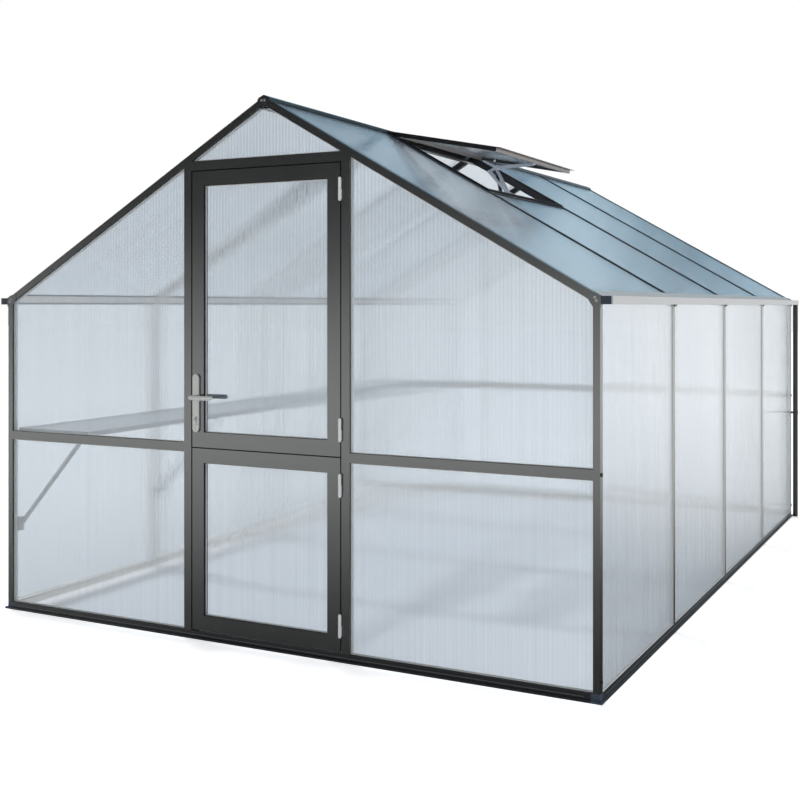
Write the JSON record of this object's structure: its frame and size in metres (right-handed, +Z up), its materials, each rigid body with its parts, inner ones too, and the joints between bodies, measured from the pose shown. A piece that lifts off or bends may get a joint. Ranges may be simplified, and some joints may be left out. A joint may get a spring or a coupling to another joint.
{
  "type": "polycarbonate greenhouse",
  "caption": "Gabled garden greenhouse of dark aluminium profiles and clear twin-wall sheets, with a divided swing door, open roof vent, gutters, downpipes and an inner shelf.",
  "frame": {"origin": "on the ground under the middle of the door, in the plane of the front gable's face, on the underside of the front base profile", "axes": "+Y runs into the house along the ridge, +X to the right seen from the door, +Z up"},
  "size_m": [2.974, 4.262, 2.2912],
  "materials": {
    "frame_paint": "satin",
    "black_paint": "satin",
    "twin_wall_sheet": "semi-gloss",
    "connector_plastic": "matte",
    "black_plastic": "semi-gloss",
    "bare_aluminium": "satin",
    "hinge_paint": "satin",
    "handle_metal": "brushed"
  },
  "bodies": {
    "frame": {"base_front": "frame_paint", "base_back": "frame_paint", "base_left": "frame_paint", "base_right": "frame_paint", "base_corners": "connector_plastic", "corner_posts": "frame_paint", "side_bars": "frame_paint", "eave_beams": "bare_aluminium", "front_rafters": "frame_paint", "back_rafters": "frame_paint", "ridge_beam": "frame_paint", "roof_bars": "black_paint", "door_posts": "frame_paint", "door_lintel": "frame_paint", "front_rails": "frame_paint", "back_posts": "frame_paint", "back_rails": "frame_paint", "gusset_plates": "frame_paint", "front_sheets": "twin_wall_sheet", "back_sheets": "twin_wall_sheet", "wall_sheets": "twin_wall_sheet", "roof_sheets": "twin_wall_sheet", "vent_sill": "black_paint", "vent_sash": "black_paint", "vent_pane": "twin_wall_sheet", "vent_opener": "bare_aluminium", "vent_cylinder": "black_paint", "gutters": "bare_aluminium", "gutter_caps": "connector_plastic", "rain_clips": "black_plastic", "downpipes": "black_plastic", "shelf_trays": "bare_aluminium", "shelf_arms": "bare_aluminium", "shelf_struts": "bare_aluminium", "hinge_pins": "hinge_paint"},
    "upper_door": {"upper_leaf_frame": "frame_paint", "upper_leaf_pane": "twin_wall_sheet", "upper_hinge_barrels": "hinge_paint", "handle_plates": "handle_metal", "lock_cylinder": "handle_metal"},
    "lower_door": {"lower_leaf_frame": "frame_paint", "lower_leaf_pane": "twin_wall_sheet", "lower_hinge_barrels": "hinge_paint"},
    "handle": {"lever_outside": "handle_metal", "lever_inside": "black_paint"}
  },
  "joints": [
    {"name": "upper_door_hinge", "type": "hinge", "parent": "frame", "child": "upper_door", "pos_m": [0.3685, -0.008, 1.404], "axis": [0, 0, 1], "range_deg": [0, 110]},
    {"name": "lower_door_hinge", "type": "hinge", "parent": "frame", "child": "lower_door", "pos_m": [0.3685, -0.008, 0.425], "axis": [0, 0, 1], "range_deg": [0, 110]},
    {"name": "lever_turn", "type": "hinge", "parent": "upper_door", "child": "handle", "pos_m": [-0.342, 0.015, 1.03], "axis": [0, 1, 0], "range_deg": [0, 45], "stiffness_Nm_per_rad": 1.5, "springref_deg": -20.05}
  ]
}
